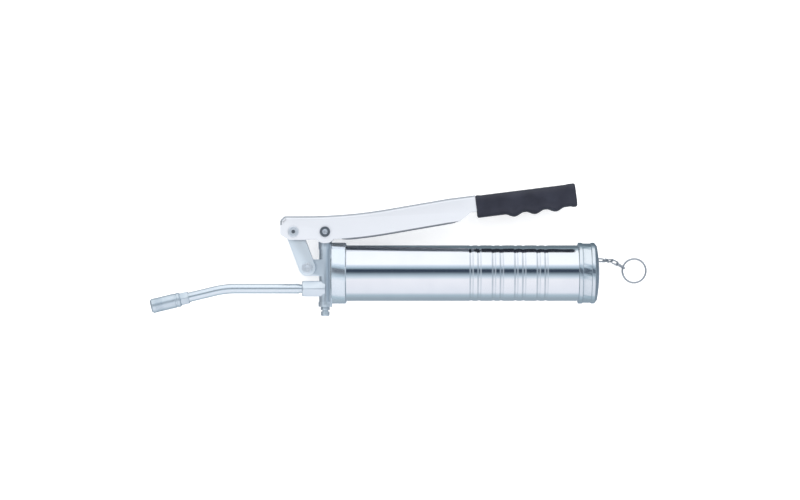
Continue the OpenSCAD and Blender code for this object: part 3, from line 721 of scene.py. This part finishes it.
def plate_mesh(outline, z0, z1, edge):
    """A convex flat plate between two heights, with its edges broken."""
    n = len(outline)
    inner = []
    for i in range(n):
        d = (Vector(outline[(i + 1) % n]) - Vector(outline[i - 1])).normalized()
        inner.append(Vector(outline[i]) + Vector((-d.y, d.x)) * edge)
    points = []
    for z, ring in ((z0, inner), (z0 + edge * 0.3, None), (z0 + edge, outline), (z1 - edge, outline),
                    (z1 - edge * 0.3, None), (z1, inner)):
        ring = ring or [Vector(a) * 0.7 + Vector(b) * 0.3 for a, b in zip(outline, inner)]
        points += [(q[0], q[1], z) for q in ring]
    faces = [(j * n + i, j * n + (i + 1) % n, (j + 1) * n + (i + 1) % n, (j + 1) * n + i)
             for j in range(5) for i in range(n)]
    return points, faces + [tuple(range(n - 1, -1, -1)), tuple(5 * n + i for i in range(n))]


half_w = LINK_W / 2
capsule = [(half_w * math.cos(rad(a)), half_w * math.sin(rad(a))) for a in range(180, 361, 6)]
capsule += [(half_w * math.cos(rad(a)), LINK_LEN + half_w * math.sin(rad(a))) for a in range(0, 181, 6)]
web_front, web_back = -half_w + 0.03, -half_w + LINK_OUT - LINK_IN
web = [(web_front, LINK_WEB[0]), (web_back, LINK_WEB[0]), (web_back, LINK_WEB[1]), (web_front, LINK_WEB[1])]
link_part = joined([plate_mesh(capsule, LINK_IN, LINK_OUT, 0.7),
                    plate_mesh(capsule, -LINK_OUT, -LINK_IN, 0.7),
                    plate_mesh(web, -LINK_IN - 0.3, LINK_IN + 0.3, 0.25)])
link_place = at(*LUG_PIN) @ Matrix.Rotation(rad(LINK_LEAN), 4, "Z")
make("link_plates", *link_part, link_finish, "link", "pressed_lever", ["link"], 40, link_place)


# ---- grip ----

# Bumps and rear lip of the palm side, measured from the grip's front.
# The CAD's bumps are 3.4 mm high and its lip starts at 97.5.
GRIP_BUMPS, BUMP_H, BUMP_RUN = (38.15, 59.45, 80.75), 3.35, 9.4
GRIP_LIP_AT, LIP_RUN = 97.2, 0.9
END_PULL, END_RUN = 1.6, 1.8        # how far both ends draw in, and over what length
WAIST_FROM, WAIST_TO, WAIST_RUN, WAIST = 3, 96, 2.5, 0.45
GRIP_AT = Matrix.Translation((GRIP_X, lever_top(GRIP_X), 0)) @ Matrix.Rotation(math.atan(GRIP_SLOPE), 4, "Z")


def bumps(u):
    """How far the palm side stands down past the plain grip."""
    out = max(0.0, min(1.0, (u - GRIP_LIP_AT) / LIP_RUN))
    for c in GRIP_BUMPS:
        d = abs(u - c)
        if d < BUMP_RUN:
            out = max(out, BUMP_H * (0.5 * (1 + math.cos(PI * d / BUMP_RUN))) ** 0.85)
    return out


def grip_skin():
    """Rings of a rounded rectangle, drawn in at both ends and a little slimmer between them."""
    rings, points, faces = [], [], []
    count, squareness = 56, 0.55
    us = [0.0, 0.25, 0.8, 1.8] + [2.6 + i * 1.3 for i in range(75)] + [100.6, 101.6, 102.4, 102.85, 103.0]
    for u in us:
        end = min(u, GRIP_LEN - u)
        pull = END_PULL * (1 - math.sqrt(max(0, 1 - (1 - min(end, END_RUN) / END_RUN) ** 2)))
        waist = 0.0
        if WAIST_FROM < u < WAIST_TO:
            waist = -WAIST + WAIST * max(0, 1 - min(u - WAIST_FROM, WAIST_TO - u) / WAIST_RUN)
        down = GRIP_H + bumps(u)
        half_w = GRIP_W / 2 - pull + waist
        y0, y1 = -down + pull, -pull + waist
        mid, half_h = (y0 + y1) / 2, (y1 - y0) / 2
        row = []
        for k in range(count):
            a = 2 * PI * k / count
            c, s = math.cos(a), math.sin(a)
            x = math.copysign(abs(c) ** squareness, c) * half_w
            y = math.copysign(abs(s) ** squareness, s) * half_h
            row.append(len(points))
            points.append((u, mid + y, x))
        rings.append(row)
    for a, b in zip(rings, rings[1:]):
        for k in range(count):
            m = (k + 1) % count
            faces.append((a[k], a[m], b[m], b[k]))
    faces.append(tuple(rings[0]))
    faces.append(tuple(rings[-1]))
    return points, faces


piece("grip_sleeve", moved(grip_skin(), GRIP_AT), "lever", ["grip"], 60)


# ---- pins ----

PIN_R, HEAD_R, HEAD_T, PIN_TAIL = 3.0, 5.4, 1.8, 2.2


def pin_part(at_xy, reach):
    """A pin through plates that end at reach on both sides: plain tail, dished head on the upper side."""
    outline = rounded([(-reach - PIN_TAIL, 0), (-reach - PIN_TAIL, 2.4, 0.3), (-reach - 1.5, PIN_R, 0.2),
                       (reach + 0.02, PIN_R), (reach + 0.02, HEAD_R, 0.1), (reach + 1.2, HEAD_R, 0.5),
                       (reach + HEAD_T, 4.7, 0.4), (reach + HEAD_T, 2.4, 0.3),
                       (reach + 1.25, 1.9, 0.3), (reach + 1.2, 0)], 4)
    return moved(lathe_mesh(outline, 64), at(*at_xy) @ UPRIGHT)


def snap_washer(at_xy, reach):
    """The dark ring on the face of a pin's head."""
    ring = [(reach + 1.7, 2.7), (reach + 1.7, 5.35), (reach + 1.95, 5.2), (reach + 1.95, 2.8)]
    return moved(lathe_mesh(ring, 64, closed=True), at(*at_xy) @ UPRIGHT)


piece("plunger_pivot", pin_part(PLUNGER_PIN, LEVER_W / 2), "lever", ["plunger_pin"])
make("lever_pivot", *pin_part(LEVER_PIN, LEVER_W / 2), pale_pin, "lever", "pin_steel", ["lever_pin"])
dish = moved(lathe_mesh([(0, 0), (0.0, 2.1), (0.22, 1.9), (0.22, 0)], 48),
             at(*LEVER_PIN, LEVER_W / 2 + 1.15) @ UPRIGHT)
make("lever_pin_dish", *dish, MAT["spring_steel"], "lever", "spring_steel")
make("plunger_washer", *snap_washer(PLUNGER_PIN, LEVER_W / 2), MAT["spring_steel"], "lever", "spring_steel")
make("link_pivot", *pin_part(LUG_PIN, LINK_OUT + 0.05), pale_pin, "gun_body", "pin_steel", ["link_pin"])


# ---- edges of the CAD nodes that stay ----

def soften(node, width, segments=3, angle=28):
    """Breaks the sharp edges of a CAD node that stays visible; width in mm."""
    obj = frame["nodes"][node]
    weld = obj.modifiers.new("weld", "WELD")
    weld.merge_threshold = 0.00001
    bevel = obj.modifiers.new("edges", "BEVEL")
    bevel.width = width * MM
    bevel.segments = segments
    bevel.limit_method = "ANGLE"
    bevel.angle_limit = rad(angle)
    bevel.harden_normals = True
    obj.data.polygons.foreach_set("use_smooth", [True] * len(obj.data.polygons))


for node, width in (("pump_head", 0.5), ("rear_cap", 0.4), ("coupler_body", 0.3),
                    ("filler_nipple", 0.2), ("plunger", 0.3)):
    soften(node, width)


# ---- floor, light, camera ----

FLOOR_HALF, FLOOR_GLOW = 4.0, 0.38
floor_mesh = bpy.data.meshes.new("floor")
floor_mesh.from_pydata([(FLOOR_HALF * x, FLOOR_HALF * y, 0) for x, y in ((-1, -1), (1, -1), (1, 1), (-1, 1))],
                       [], [(0, 1, 2, 3)])
floor = bpy.data.objects.new("floor", floor_mesh)
floor.location.z = cad_low.z - 0.0002
scene.collection.objects.link(floor)
mat, tree, shader, coords = new_material("floor_paper")
shader.inputs["Base Color"].default_value = (0.88, 0.88, 0.88, 1)
shader.inputs["Emission Color"].default_value = (1, 1, 1, 1)
shader.inputs["Emission Strength"].default_value = FLOOR_GLOW
shader.inputs["Roughness"].default_value = 0.9
shader.inputs["Specular IOR Level"].default_value = 0.1
floor_mesh.materials.append(mat)
floor.visible_glossy = False

# What polished metal mirrors, by the direction round the barrel: -180 to 180 degrees from straight up
BANDS = (
    (-180, (0.30, 0.37, 0.44)), (-128, (0.36, 0.43, 0.48)), (-104, (0.46, 0.57, 0.64)),
    (-88, (0.86, 0.88, 0.94)), (-26, (0.97, 0.96, 1.0)), (-16, (0.66, 0.75, 0.83)),
    (-4, (0.31, 0.38, 0.44)), (5, (0.04, 0.06, 0.09)), (15, (0.03, 0.045, 0.075)),
    (21, (0.38, 0.49, 0.57)), (31, (0.70, 0.80, 0.90)), (37, (1.12, 1.13, 1.15)),
    (104, (1.08, 1.10, 1.12)), (114, (0.48, 0.58, 0.64)), (130, (0.16, 0.21, 0.24)),
    (180, (0.16, 0.20, 0.23)))
# What it mirrors towards the barrel's two ends, from -X (0) to +X (1).
# DIM darkens that by the direction round the barrel.
SIDES = ((0.0, (0.10, 0.13, 0.16)), (0.07, (0.12, 0.15, 0.18)), (0.14, (0.62, 0.70, 0.78)),
         (0.35, (0.58, 0.65, 0.72)), (0.65, (0.42, 0.49, 0.56)), (1.0, (0.34, 0.41, 0.48)))
DIM = ((0.0, (0.55, 0.56, 0.58)), (0.2, (0.6, 0.61, 0.63)), (0.3, (1, 1, 1)), (0.55, (0.9, 0.9, 0.9)),
       (0.62, (1, 1, 1)), (0.78, (1, 1, 1)), (0.86, (0.5, 0.52, 0.54)), (1.0, (0.5, 0.52, 0.54)))
world = bpy.data.worlds.new("studio")
scene.world = world
world.use_nodes = True
tree = world.node_tree
tree.nodes.clear()
out = tree.nodes.new("ShaderNodeOutputWorld")
coords = tree.nodes.new("ShaderNodeTexCoord")
split = tree.nodes.new("ShaderNodeSeparateXYZ")
tree.links.new(coords.outputs["Generated"], split.inputs[0])
angle = tree.nodes.new("ShaderNodeMath")
angle.operation = "ARCTAN2"
tree.links.new(split.outputs["Y"], angle.inputs[0])
tree.links.new(split.outputs["Z"], angle.inputs[1])
turn01 = range_node(tree, angle.outputs[0], 0, 1, -PI, PI)
bands = ramp_node(tree, turn01.outputs[0], [((a + 180) / 360, c) for a, c in BANDS])
# A direction that leans to either end of the barrel mostly sees SIDES, which shows the rolled grooves
lean = tree.nodes.new("ShaderNodeMath")
lean.operation = "ABSOLUTE"
tree.links.new(split.outputs["X"], lean.inputs[0])
aside = range_node(tree, lean.outputs[0], 0, 0.75, 0.15, 0.42)
turned = range_node(tree, split.outputs["X"], 0, 1, -1, 1)
sides = ramp_node(tree, turned.outputs[0], SIDES)
dim = ramp_node(tree, turn01.outputs[0], DIM)
far = mix_node(tree, 1.0, sides.outputs[0], dim.outputs[0], "MULTIPLY")
room = mix_node(tree, aside.outputs[0], bands.outputs[0], far.outputs[2])
mirror = tree.nodes.new("ShaderNodeBackground")
tree.links.new(room.outputs[2], mirror.inputs["Color"])
mirror.inputs["Strength"].default_value = 1.0
plain = tree.nodes.new("ShaderNodeBackground")
plain.inputs["Color"].default_value = (0.97, 0.98, 1.0, 1)
plain.inputs["Strength"].default_value = 1.02
light_path = tree.nodes.new("ShaderNodeLightPath")
mix = tree.nodes.new("ShaderNodeMixShader")
tree.links.new(light_path.outputs["Is Glossy Ray"], mix.inputs[0])
tree.links.new(plain.outputs[0], mix.inputs[1])
tree.links.new(mirror.outputs[0], mix.inputs[2])
tree.links.new(mix.outputs[0], out.inputs[0])


def softbox(name, place, target, size, power):
    data = bpy.data.lights.new(name, "AREA")
    data.shape = "RECTANGLE"
    data.size, data.size_y = size
    data.energy = power
    data.color = (1.0, 0.99, 0.98)
    light = bpy.data.objects.new(name, data)
    light.location = place
    light.rotation_euler = (Vector(target) - Vector(place)).to_track_quat("-Z", "Y").to_euler()
    light.visible_glossy = False
    scene.collection.objects.link(light)


softbox("key", (0.3, 0.7, 1.6), (0, 0, 0), (2.0, 1.2), 17)
softbox("fill", (-0.6, -0.9, 1.2), (0, 0, 0), (2.0, 1.5), 6)

# Straight above; the picture shows VIEW_WIDE mm from side to side, and its middle is over VIEW_MIDDLE, in mm
VIEW_WIDE = 821.6
VIEW_MIDDLE = (-8.216, 23.7237)
SENSOR, DISTANCE = 36, 3.2
camera_data = bpy.data.cameras.new("camera")
camera_data.sensor_width = SENSOR
camera_data.lens = SENSOR * DISTANCE / (VIEW_WIDE * MM)
camera_data.clip_end = 50
camera = bpy.data.objects.new("camera", camera_data)
camera.location = (VIEW_MIDDLE[0] * MM, VIEW_MIDDLE[1] * MM, DISTANCE)
scene.collection.objects.link(camera)
scene.camera = camera
scene.view_settings.view_transform = "Standard"
scene.view_settings.look = "None"
